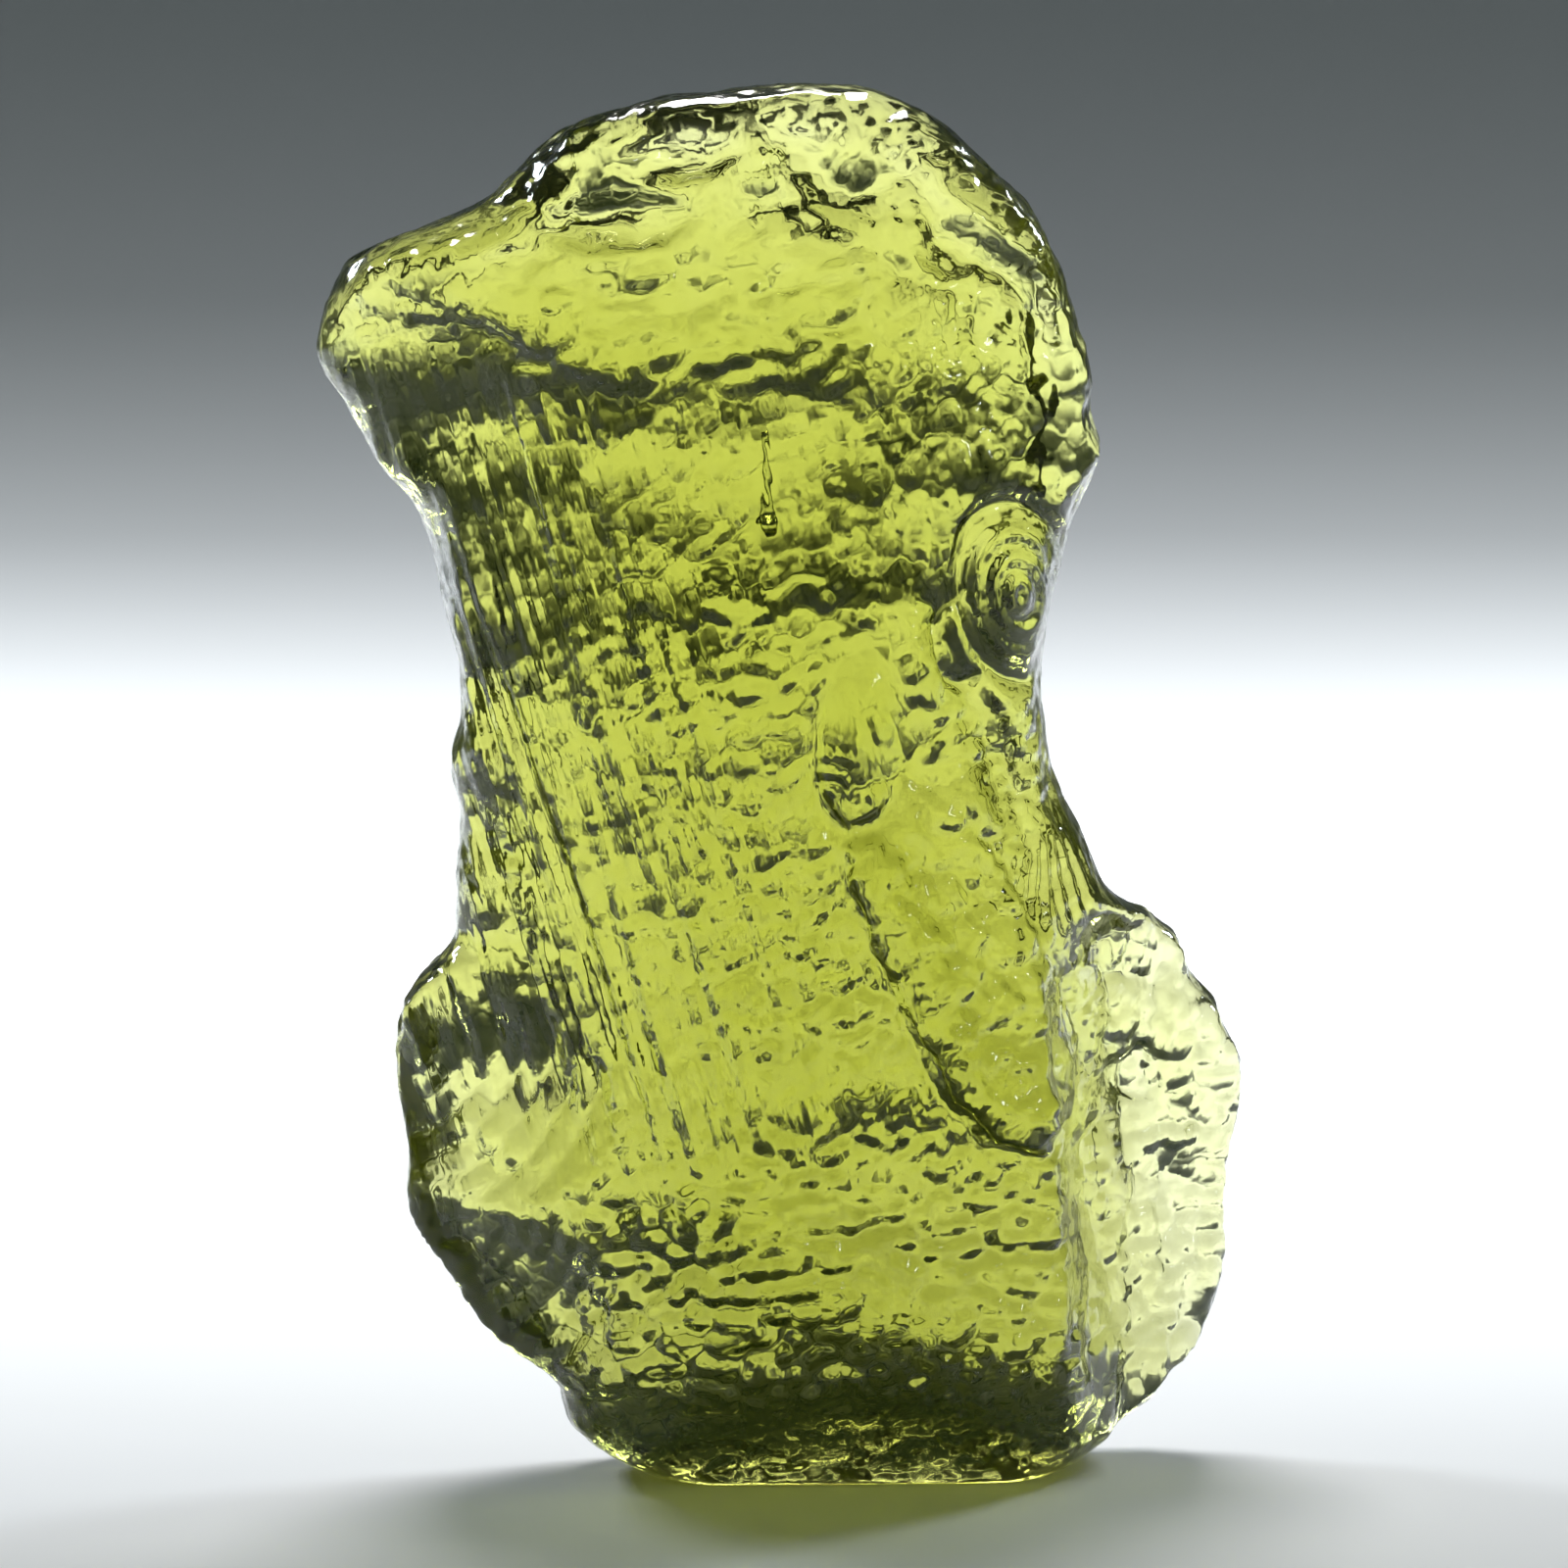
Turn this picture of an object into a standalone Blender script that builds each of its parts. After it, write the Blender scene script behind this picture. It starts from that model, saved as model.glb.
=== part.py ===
# A moldavite: one piece of natural green glass, standing upright on its small flat base.
# The front faces -Y, +X is to its right and +Z is up. The origin is under the middle of the stone.

import math

import bmesh
import bpy
import numpy as np
from mathutils import Vector, noise

MM = 0.001

# The stone's form, all in millimetres. Each profile is a list of (height, value) points.
WIDTH, DEPTH, HEIGHT = 21.35, 9.3, 32.0
FOOT = -0.5
LEFT_EDGE = [
    (FOOT, -1.6), (0.0, -3.0), (0.5, -4.2), (1.1, -5.0), (2.2, -5.4), (2.7, -6.1), (4.3, -7.6),
    (5.0, -8.1), (5.6, -8.5), (7.9, -8.8), (9.7, -9.0), (10.6, -8.9), (11.5, -8.5), (12.3, -7.7),
    (13.3, -7.65), (15.5, -7.55), (16.5, -7.7), (17.5, -7.45), (18.4, -7.5), (19.6, -7.85),
    (21.0, -8.1), (22.2, -8.55), (23.3, -9.5), (24.4, -10.05), (25.2, -10.65), (26.3, -10.7),
    (27.2, -10.35), (28.0, -9.75), (28.5, -8.5), (29.0, -7.25), (29.8, -6.25), (30.6, -5.4),
    (31.1, -4.5), (31.6, -2.8), (31.9, -0.8), (HEIGHT, 0.3),
]
RIGHT_EDGE = [
    (FOOT, 5.0), (0.0, 6.4), (0.5, 7.5), (0.9, 8.2), (1.6, 9.0), (2.5, 9.75), (3.6, 10.2),
    (4.6, 10.4), (6.5, 10.4), (8.0, 10.7), (9.2, 10.75), (9.8, 10.45), (10.4, 10.1), (11.3, 9.5),
    (12.1, 9.1), (12.6, 8.6), (13.2, 7.75), (14.6, 7.0), (16.2, 6.25), (18.2, 6.0), (19.6, 6.1),
    (21.0, 6.4), (22.2, 6.8), (22.9, 7.1), (23.5, 7.4), (24.1, 7.15), (25.3, 7.1), (26.7, 6.75),
    (27.8, 6.35), (28.6, 6.0), (29.3, 5.5), (30.0, 4.7), (30.8, 3.85), (31.3, 3.15),
    (31.7, 2.3), (31.9, 1.7), (HEIGHT, 1.1),
]
FRONT_DEPTH = [
    (FOOT, 2.4), (0.0, 3.0), (0.8, 3.5), (2.4, 4.1), (5.0, 4.5), (9.0, 4.7), (13.0, 4.6),
    (17.0, 4.5), (20.0, 4.5), (24.0, 4.6), (27.0, 4.5), (29.0, 3.8), (30.4, 2.8), (31.2, 1.9),
    (31.7, 1.2), (31.9, 0.7), (HEIGHT, 0.15),
]
BACK_DEPTH = [
    (FOOT, 2.6), (0.0, 3.2), (0.8, 3.7), (2.4, 4.1), (5.0, 4.4), (9.0, 4.6), (13.0, 4.5),
    (17.0, 4.4), (20.5, 4.1), (24.0, 3.7), (27.0, 3.3), (29.0, 2.9), (30.4, 2.4), (31.2, 1.8),
    (31.7, 1.2), (31.9, 0.7), (HEIGHT, 0.15),
]
# How a section rounds off to its edge: 1 is an oval, and less is squarer.
FRONT_ROUNDING, BACK_ROUNDING = 0.80, 0.55
# How far the edge stands behind the middle plane, so that the stone isn't flat seen from its side.
EDGE_SWAY = [(FOOT, 0.0), (5.0, 0.35), (12.0, 0.1), (18.0, -0.45), (25.0, 0.2), (HEIGHT, -0.5)]
EDGE_TWIST = [(FOOT, 0.05), (9.0, 0.09), (17.0, -0.02), (25.0, -0.07), (HEIGHT, 0.0)]

# Flats that the stone's bulge is cut back to: the two points of the ridge (x, height), how deep the
# bulge is along it, and how steeply the flat falls away to the ridge's right, or left if negative.
FRONT_FLATS = [
    ((1.3, 30.0), (4.6, 21.2), 4.2, 0.55),
    ((-4.9, 27.0), (-1.2, 5.0), 4.4, -0.48),
    ((-3.6, 5.6), (-2.4, 2.0), 4.2, -0.95),
    ((5.6, 13.8), (6.9, 1.0), 3.9, 1.15),
]
BACK_FLATS = [
    ((-3.2, 29.0), (-5.0, 14.0), 3.9, -0.16),
    ((2.6, 30.0), (3.6, 16.0), 3.9, 0.16),
    ((4.4, 12.0), (4.9, 1.0), 4.1, 0.20),
    ((-4.6, 12.0), (-2.6, 1.0), 4.2, -0.22),
]
FLAT_BLEND = 0.30
KEPT_BULGE = 0.38
HEAD_SLOPE_FROM, HEAD_SLOPE_DEPTH, HEAD_SLOPE = 26.2, 4.3, 0.52
LIP_SLOPE_BELOW, LIP_SLOPE_DEPTH, LIP_SLOPE = 2.9, 4.4, 0.75
FLANGE_HALF, FLANGE_SHIFT = 1.55, 1.9
FLANGE_REACH = ((6.9, 13.2), (7.2, 1.2))

# Hollows (-) and swellings (+): middle (x, height), half-lengths, lean in degrees, height.
HEAD_CUPS = [
    (-3.6, 29.0, 1.7, 0.75, 4, -0.55), (-2.1, 30.5, 1.3, 0.75, -6, -0.45),
    (-0.4, 29.2, 0.95, 0.5, 22, -0.38), (0.4, 30.5, 1.1, 0.75, 0, -0.42),
    (-5.2, 28.4, 1.3, 0.8, 30, -0.36), (-1.9, 27.5, 1.0, 0.55, 12, -0.26),
    (-3.9, 27.2, 1.0, 0.6, -8, -0.28), (2.3, 29.6, 0.8, 0.9, -20, -0.34),
    (-0.2, 27.6, 0.8, 0.5, 0, -0.22), (-6.2, 27.4, 0.9, 0.5, 20, -0.22),
]
FRONT_HOLLOWS = [
    (-6.5, 8.9, 2.6, 2.4, 0, -0.95), (-5.3, 4.5, 2.1, 1.3, -35, -0.60),
    (-7.7, 5.7, 0.8, 0.7, 0, -0.40), (8.2, 9.0, 0.8, 0.8, 0, -0.40),
    (9.0, 6.0, 1.2, 1.6, 0, -0.30), (8.7, 11.4, 0.9, 0.9, 20, -0.28),
    (-7.2, 24.2, 1.7, 1.2, 30, -0.35), (5.0, 26.4, 1.2, 2.2, 12, -0.30),
    (-6.6, 15.2, 0.7, 1.5, 8, -0.34), (-6.4, 18.6, 0.6, 1.4, 10, -0.30),
    (-6.9, 12.6, 0.8, 0.7, 0, -0.28), (0.6, 3.4, 1.6, 0.9, 0, -0.20),
]
FRONT_SWELLINGS = [
    (1.7, 17.4, 1.05, 2.1, -6, 0.42), (3.1, 19.1, 0.7, 1.5, 8, 0.30),
    (4.2, 15.9, 0.9, 1.0, 0, 0.40), (3.9, 19.6, 0.5, 1.0, 6, 0.25),
    (5.3, 20.6, 1.35, 2.1, 14, 0.58), (-9.3, 25.6, 1.1, 1.3, 0, 0.35),
    (-6.6, 8.0, 1.5, 0.5, -28, 0.34), (8.9, 7.4, 1.0, 0.5, 10, 0.30),
]
BACK_HOLLOWS = [
    (-1.6, 24.6, 3.2, 2.6, -10, -0.45), (3.9, 22.6, 2.2, 2.0, 25, -0.40),
    (-6.6, 24.8, 1.9, 1.7, 20, -0.20), (-5.8, 9.8, 2.2, 2.0, 0, -0.60),
    (2.2, 6.4, 2.8, 2.2, -15, -0.45), (7.8, 7.4, 1.7, 2.4, 10, -0.45),
    (-2.6, 4.2, 2.2, 1.5, 20, -0.50), (5.0, 13.0, 1.5, 1.7, 0, -0.45),
    (0.8, 28.8, 2.1, 1.3, 8, -0.50), (-4.4, 28.6, 1.6, 1.0, 20, -0.40),
    (5.4, 18.0, 0.9, 1.9, 0, -0.25), (-6.4, 17.4, 0.9, 2.1, 6, -0.40),
    (8.2, 3.4, 1.3, 1.2, 0, -0.35),
]
# The eye, a swelling near the right edge, has ring grooves at these shares of its half-lengths.
EYE = FRONT_SWELLINGS[4][:5]
EYE_RINGS, EYE_RING_WIDTH, EYE_RING_DEPTH = (0.42, 0.8), 0.13, 0.17
# The tongue on the front, a raised patch. Its left and lower edge is a sharp step, and the patch
# sinks back into the front to the right of it and at its top.
TONGUE = [
    (1.0, 16.2), (1.5, 14.8), (2.1, 13.2), (2.7, 11.9), (3.2, 10.6), (3.85, 9.3), (4.7, 8.35),
    (5.8, 8.05), (6.6, 8.7), (6.6, 10.3), (5.9, 12.2), (5.0, 14.1), (4.0, 15.6), (2.6, 16.6),
]
TONGUE_HEIGHT, TONGUE_EDGE, TONGUE_LEFT_AT, TONGUE_TOP_AT = 0.62, 0.3, (0.5, 3.0), (13.4, 16.4)
# Grooves along a line, each with its half-width and depth. They run out at their ends.
FRONT_GROOVES = [
    ([(3.4, 21.6), (3.5, 20.0), (4.4, 18.0), (5.1, 16.3), (5.5, 14.0)], 0.45, 0.36),
    ([(5.9, 13.4), (6.5, 11.0), (6.7, 8.6), (7.0, 5.6), (7.6, 2.6)], 0.60, 0.45),
    ([(2.3, 31.2), (3.4, 29.0), (5.6, 27.4), (6.1, 24.8)], 0.45, 0.45),
    ([(-4.7, 11.6), (-4.1, 10.6), (-4.2, 8.9), (-4.7, 7.2)], 0.35, 0.30),
    ([(-7.4, 21.6), (-6.0, 17.4), (-4.8, 13.4), (-4.2, 11.4)], 0.35, 0.13),
    ([(-6.4, 24.6), (-4.9, 19.4), (-3.6, 14.4), (-2.6, 9.4)], 0.45, 0.15),
    ([(-4.6, 23.0), (-3.4, 18.0), (-2.3, 13.0), (-1.5, 8.6)], 0.35, 0.10),
]
GROOVE_RUN_OUT = 2.2
BACK_GROOVES = [
    ([(4.3, 27.6), (5.0, 24.2), (4.4, 20.6)], 0.50, 0.36),
    ([(-6.0, 21.8), (-5.0, 17.4), (-5.4, 13.0), (-3.8, 8.0)], 0.45, 0.34),
]
# The back falls away a little below a ledge at the waist, and comes back further down.
LEDGE = [(-5.6, 18.6), (-4.2, 19.6), (-1.9, 20.1), (0.6, 20.9), (2.4, 20.5), (4.2, 19.2)]
LEDGE_DEPTH, LEDGE_EDGE, LEDGE_BACK_AT = 0.14, 1.0, (5.0, 13.5)
# Cups etched all over the back and round the edges: their spacing and depth.
CUP_SPACING, CUP_DEPTH, CUP_REACH = 2.1, 0.17, 0.62
FINE_CUP_SPACING, FINE_CUP_DEPTH = 1.15, 0.08
EDGE_SHARE = 0.6

AROUND, RINGS = 180, 140
FACES_KEPT = 0.19

GLASS_COLOUR = (0.42, 0.46, 0.08, 1.0)
GLASS_ROUGHNESS = 0.12


def clear_scene():
    for old in list(bpy.data.objects):
        bpy.data.objects.remove(old)


def collection(name):
    made = bpy.data.collections.new(name)
    bpy.context.scene.collection.children.link(made)
    return made


def along(profile, height):
    """The profile's value at each height, on a smooth curve through its points."""
    heights, values = np.array(profile).T
    slopes = np.gradient(values, heights)
    i = np.clip(np.searchsorted(heights, height) - 1, 0, len(heights) - 2)
    gap = heights[i + 1] - heights[i]
    t = (height - heights[i]) / gap
    rise = (3 - 2 * t) * t * t
    ends = values[i] * (1 - rise) + values[i + 1] * rise
    bends = slopes[i] * t * (1 - t) ** 2 - slopes[i + 1] * t * t * (1 - t)
    return ends + gap * bends


def fade(low, high, value):
    """0 up to low, 1 from high on, and a smooth rise between them."""
    t = np.clip((value - low) / (high - low), 0, 1)
    return t * t * (3 - 2 * t)


def lesser(a, b, blend):
    """The lesser of two depths, rounded where they cross."""
    t = np.clip(0.5 + 0.5 * (b - a) / blend, 0, 1)
    return b * (1 - t) + a * t - blend * t * (1 - t)


def right_of(first, second, x, z):
    """How far each point lies to the right of the line from first, the upper point, to second."""
    dx, dz = second[0] - first[0], second[1] - first[1]
    return ((x - first[0]) * -dz + (z - first[1]) * dx) / math.hypot(dx, dz)


def mark(x, z, middle_x, middle_z, half_x, half_z, lean, height):
    """A round hollow or swelling with a crisp rim."""
    c, s = math.cos(math.radians(lean)), math.sin(math.radians(lean))
    across = ((x - middle_x) * c + (z - middle_z) * s) / half_x
    up = ((z - middle_z) * c - (x - middle_x) * s) / half_z
    return height * np.clip(1 - across**2 - up**2, 0, None) ** 1.2


def to_line(x, z, points):
    """The distance of each point from a line of several stretches."""
    nearest = np.full(x.shape, np.inf)
    for (ax, az), (bx, bz) in zip(points, points[1:]):
        dx, dz = bx - ax, bz - az
        t = np.clip(((x - ax) * dx + (z - az) * dz) / (dx * dx + dz * dz), 0, 1)
        nearest = np.minimum(nearest, np.hypot(x - ax - t * dx, z - az - t * dz))
    return nearest


def inside(x, z, outline):
    """Whether each point lies inside a closed outline."""
    found = np.zeros(x.shape, bool)
    for (ax, az), (bx, bz) in zip(outline, outline[1:] + outline[:1]):
        if az != bz:
            found ^= ((az > z) != (bz > z)) & (x < ax + (z - az) * (bx - ax) / (bz - az))
    return found


def ring(x, z, middle_x, middle_z, half_x, half_z, lean):
    """The grooves that run round inside a swelling."""
    c, s = math.cos(math.radians(lean)), math.sin(math.radians(lean))
    across = ((x - middle_x) * c + (z - middle_z) * s) / half_x
    up = ((z - middle_z) * c - (x - middle_x) * s) / half_z
    out = np.hypot(across, up)
    sunk = sum(np.clip(1 - ((out - at) / EYE_RING_WIDTH) ** 2, 0, None) for at in EYE_RINGS)
    return -EYE_RING_DEPTH * sunk


def groove(x, z, points, half_width, depth):
    ends = 1
    for end_x, end_z in (points[0], points[-1]):
        ends = ends * fade(0, GROOVE_RUN_OUT, np.hypot(x - end_x, z - end_z))
    return -depth * ends * np.clip(1 - (to_line(x, z, points) / half_width) ** 2, 0, None)


def tongue(x, z):
    edge = to_line(x, z, TONGUE + TONGUE[:1])
    signed = np.where(inside(x, z, TONGUE), edge, -edge)
    lip = to_line(x, z, TONGUE[:8])
    kept = 1 - 0.75 * fade(*TONGUE_LEFT_AT, lip)
    kept = kept * fade(*TONGUE_TOP_AT[::-1], z)
    return TONGUE_HEIGHT * kept * fade(-TONGUE_EDGE / 2, TONGUE_EDGE / 2, signed)


def ledge(x, z):
    """How far the back falls away below the ledge."""
    line_x, line_z = np.array(LEDGE).T
    below = np.interp(x, line_x, line_z) - z
    across = fade(LEDGE[0][0] - 0.6, LEDGE[0][0] + 1.6, x) * fade(
        LEDGE[-1][0] + 0.8, LEDGE[-1][0] - 1.6, x
    )
    return -LEDGE_DEPTH * across * fade(0, LEDGE_EDGE, below) * fade(*LEDGE_BACK_AT[::-1], below)


def in_flange(x, z):
    """1 in the blade on the right of the foot, which stands further back than the rest."""
    return fade(-0.9, 1.3, right_of(*FLANGE_REACH, x, z)) * fade(13.6, 12.2, z)


def flange(x, z, depth):
    """Thins the right side of the foot to a blade."""
    beyond = in_flange(x, z)
    return depth * (1 - beyond) + np.minimum(depth, FLANGE_HALF) * beyond


def cut_back(x, z, bulge, flats):
    depth = bulge
    for first, second, ridge, fall in flats:
        depth = lesser(depth, ridge - fall * right_of(first, second, x, z), FLAT_BLEND)
    return depth


def front(x, z, bulge):
    """How far the front stands before the edge, from the bulge of the plain section."""
    depth = cut_back(x, z, bulge, FRONT_FLATS)
    depth = lesser(depth, HEAD_SLOPE_DEPTH - HEAD_SLOPE * (z - HEAD_SLOPE_FROM), FLAT_BLEND)
    depth = lesser(depth, LIP_SLOPE_DEPTH - LIP_SLOPE * (LIP_SLOPE_BELOW - z), FLAT_BLEND)
    depth = flange(x, z, np.maximum(depth, KEPT_BULGE * bulge))
    relief = tongue(x, z) + ring(x, z, *EYE)
    for shape in HEAD_CUPS + FRONT_HOLLOWS + FRONT_SWELLINGS:
        relief = relief + mark(x, z, *shape)
    for shape in FRONT_GROOVES:
        relief = relief + groove(x, z, *shape)
    return depth + relief * fade(0.2, 1.6, bulge)


def back(x, z, bulge):
    """The same for the back, which has a low ledge at the waist."""
    depth = cut_back(x, z, bulge, BACK_FLATS)
    depth = lesser(depth, LIP_SLOPE_DEPTH - LIP_SLOPE * (LIP_SLOPE_BELOW - z), FLAT_BLEND)
    depth = flange(x, z, np.maximum(depth, KEPT_BULGE * bulge))
    relief = ledge(x, z)
    for shape in BACK_HOLLOWS:
        relief = relief + mark(x, z, *shape)
    for shape in BACK_GROOVES:
        relief = relief + groove(x, z, *shape)
    return depth + relief * fade(0.2, 1.6, bulge)


def bar():
    """A round bar of many rings with closed ends."""
    made = bmesh.new()
    bmesh.ops.create_cone(made, cap_ends=True, segments=AROUND, radius1=1, radius2=1, depth=1)
    uprights = [e for e in made.edges if abs(e.verts[0].co.z - e.verts[1].co.z) > 0.5]
    bmesh.ops.subdivide_edges(made, edges=uprights, cuts=RINGS - 1, use_grid_fill=True)
    return made


def shaped(points):
    """The bar's points moved to the stone's surface."""
    angle = np.arctan2(points[:, 1], points[:, 0])
    z = FOOT + (points[:, 2] + 0.5) * (HEIGHT - FOOT)
    left, right = along(LEFT_EDGE, z), along(RIGHT_EDGE, z)
    middle, half = (left + right) / 2, (right - left) / 2
    x = middle + half * np.cos(angle)
    rise = np.abs(np.sin(angle))
    depth_front = front(x, z, along(FRONT_DEPTH, z) * rise**FRONT_ROUNDING)
    depth_back = back(x, z, along(BACK_DEPTH, z) * rise**BACK_ROUNDING)
    depth = np.where(points[:, 1] < 0, -depth_front, depth_back)
    y = depth + along(EDGE_SWAY, z) + along(EDGE_TWIST, z) * x + FLANGE_SHIFT * in_flange(x, z)
    return np.stack([x, y, z], axis=1)


def cup(place, spacing):
    """0 between the cups and up to 1 in the middle of one."""
    nearest = noise.voronoi(Vector(place) / spacing)[0][0]
    return max(0.0, 1 - (nearest / CUP_REACH) ** 2)


def etch(made):
    """Sinks cups into the back and the edges. The front's middle stays smooth."""
    made.normal_update()
    for v in made.verts:
        bare = float(fade(0.35, 0.85, -v.normal.y))
        standing = float(fade(0.2, 1.2, v.co.z)) * (1 - 0.85 * bare)
        standing *= 1 - (1 - EDGE_SHARE) * abs(v.normal.x)
        sunk = CUP_DEPTH * cup(v.co, CUP_SPACING) + FINE_CUP_DEPTH * cup(v.co, FINE_CUP_SPACING)
        v.co -= v.normal * sunk * standing


def fit(made):
    """Sizes the stone to its width and depth, and puts its box's middle over the origin."""
    points = np.array([v.co for v in made.verts])
    low, high = points.min(axis=0), points.max(axis=0)
    share = np.array([WIDTH, DEPTH, HEIGHT - FOOT]) / (high - low)
    for v, point in zip(made.verts, (points - low) * share):
        v.co = point - np.array([WIDTH / 2, DEPTH / 2, -FOOT])


def glass():
    made = bpy.data.materials.new("moldavite_glass")
    made.use_nodes = True
    shader = made.node_tree.nodes["Principled BSDF"]
    shader.inputs["Base Color"].default_value = GLASS_COLOUR
    shader.inputs["Roughness"].default_value = GLASS_ROUGHNESS
    shader.inputs["Transmission Weight"].default_value = 1.0
    shader.inputs["IOR"].default_value = 1.49
    return made


def base_cutter(where):
    """A block whose top is the flat that the stone stands on."""
    block = bmesh.new()
    bmesh.ops.create_cube(block, size=1)
    bmesh.ops.scale(block, verts=block.verts, vec=(40 * MM, 40 * MM, 4 * MM))
    bmesh.ops.translate(block, verts=block.verts, vec=(0, 0, -2 * MM))
    mesh = bpy.data.meshes.new("base_cutter")
    block.to_mesh(mesh)
    block.free()
    made = bpy.data.objects.new("base_cutter", mesh)
    made.hide_render = True
    made.display_type = "WIRE"
    where.objects.link(made)
    return made


def stone(where, cutter):
    """The stone: the shaped bar, etched, with fewer faces and a flat base."""
    made = bar()
    points = shaped(np.array([v.co for v in made.verts]))
    for v, point in zip(made.verts, points):
        v.co = point
    etch(made)
    fit(made)
    bmesh.ops.recalc_face_normals(made, faces=made.faces)
    bmesh.ops.scale(made, verts=made.verts, vec=(MM, MM, MM))
    mesh = bpy.data.meshes.new("moldavite")
    made.to_mesh(mesh)
    made.free()
    obj = bpy.data.objects.new("moldavite", mesh)
    where.objects.link(obj)
    mesh.materials.append(glass())
    mesh.shade_smooth()
    fewer = obj.modifiers.new("Fewer faces", "DECIMATE")
    fewer.ratio = FACES_KEPT
    flat = obj.modifiers.new("Flat base", "BOOLEAN")
    flat.operation = "DIFFERENCE"
    flat.object = cutter
    return obj


def main():
    clear_scene()
    cutter = base_cutter(collection("cutters"))
    stone(collection("moldavite_specimen"), cutter)


main()
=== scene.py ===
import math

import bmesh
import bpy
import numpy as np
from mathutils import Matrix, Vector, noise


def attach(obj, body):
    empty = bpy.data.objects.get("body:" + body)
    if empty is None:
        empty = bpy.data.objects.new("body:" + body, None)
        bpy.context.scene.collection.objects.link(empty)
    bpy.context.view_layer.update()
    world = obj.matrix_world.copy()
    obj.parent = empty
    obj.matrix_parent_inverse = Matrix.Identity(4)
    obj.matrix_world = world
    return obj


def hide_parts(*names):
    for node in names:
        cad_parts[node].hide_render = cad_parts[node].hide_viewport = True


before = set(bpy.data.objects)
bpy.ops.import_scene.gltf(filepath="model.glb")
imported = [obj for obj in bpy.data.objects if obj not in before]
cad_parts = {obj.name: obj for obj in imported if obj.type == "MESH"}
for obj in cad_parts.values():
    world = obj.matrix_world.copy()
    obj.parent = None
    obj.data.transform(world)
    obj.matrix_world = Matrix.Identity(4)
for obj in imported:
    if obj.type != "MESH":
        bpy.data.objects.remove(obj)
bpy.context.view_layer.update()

# %% [markdown]
# # A moldavite in its glass
# The CAD part has the stone's outline, its lumps, its ledges and its flat base, in large facets.
# This lesson gives the same stone its etched skin, its clear green glass and a small studio.
# All work on the mesh is done in millimetres, because a voxel remesh of a thing this small in
# metres would need a voxel size near the smallest that Blender takes. One number turns it back.

MM = 0.001

# %% [markdown]
# ## A finer skin over the same stone
# The CAD mesh is a copy with loose triangles, so its corners are merged first. A voxel remesh then
# covers the stone in small even quads, a third of the size of the finest pits. A subdivision would
# do this too, but it keeps the long thin triangles. Smoothing takes out the facets that the CAD
# part has and the real stone doesn't.

# %% The remeshed skin
VOXEL = 0.14
FACET_SMOOTHING = 10


def merged_copy(node):
    """A copy of a CAD node's mesh in millimetres, with its triangles joined up."""
    made = bmesh.new()
    made.from_mesh(node.data)
    bmesh.ops.remove_doubles(made, verts=made.verts, dist=0.001 * MM)
    bmesh.ops.scale(made, verts=made.verts, vec=(1 / MM, 1 / MM, 1 / MM))
    mesh = bpy.data.meshes.new("stone_start")
    made.to_mesh(mesh)
    made.free()
    return mesh


def with_modifiers(mesh, name, settings):
    """The mesh as it comes out of a stack of modifiers."""
    holder = bpy.data.objects.new(name, mesh)
    bpy.context.scene.collection.objects.link(holder)
    for kind, values in settings:
        modifier = holder.modifiers.new(kind.title(), kind)
        for key, value in values.items():
            setattr(modifier, key, value)
    graph = bpy.context.evaluated_depsgraph_get()
    done = bpy.data.meshes.new_from_object(holder.evaluated_get(graph))
    bpy.data.objects.remove(holder)
    done.name = name
    return done


skin = with_modifiers(merged_copy(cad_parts["moldavite"]), "stone", [
    ("REMESH", {"mode": "VOXEL", "voxel_size": VOXEL, "adaptivity": 0.0}),
    ("SMOOTH", {"factor": 0.5, "iterations": FACET_SMOOTHING}),
])
print("skin:", len(skin.vertices), "points,", len(skin.polygons), "faces")

# %% [markdown]
# ## How the relief is made
# Rain and soil acids etched this surface over millions of years: they ate pits, opened flow lines
# and left the harder layers standing. Each of these is a function here. It takes every point's
# place and gives a height in millimetres, and the sum moves the points along their normals. This
# is what a Displace modifier does, but a function can follow one mark on the stone. A mask, from 0
# to 1, says where on the stone each kind of relief is.

# %% Points and normals
def column(mesh_points, kind, values=3):
    """One kind of value of all points, as an array with a row for each."""
    found = np.empty(len(mesh_points) * values, np.float32)
    mesh_points.foreach_get(kind, found)
    return found.reshape(-1, values).astype(float)


points = column(skin.vertices, "co")
normals = column(skin.vertex_normals, "vector")
x, y, z = points.T
print("points from", points.min(axis=0).round(2), "to", points.max(axis=0).round(2))


# %% Masks for the stone's sides
def fade(low, high, value):
    """0 up to low, 1 from high on, and a smooth rise between them."""
    t = np.clip((value - low) / (high - low), 0, 1)
    return t * t * (3 - 2 * t)


facing_front = fade(0.15, 0.65, -normals[:, 1])
facing_back = fade(0.15, 0.65, normals[:, 1])
at_edge = 1 - np.clip(facing_front + facing_back, 0, 1)
groove_wall = fade(3.6, 4.4, x) * fade(8.2, 7.4, x) * fade(13.8, 12.8, z)
at_edge = at_edge * (1 - 0.85 * groove_wall)
off_base = fade(0.15, 0.9, z)
print("share of points facing front, back and edge:",
      [round(float(m.mean()), 2) for m in (facing_front, facing_back, at_edge)])

# %% [markdown]
# ## Pits
# Etch pits are cups that meet in sharp rims. Voronoi noise gives them: each point's distance to
# the nearest of many scattered seeds, turned into a bowl. The real pits are wider than they are
# tall, so the space is squeezed before the noise is read.

# %% Cups from Voronoi noise, and smooth noise
CUP_REACH = 0.62
WIDE = (0.8, 1.0, 1.25)


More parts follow.
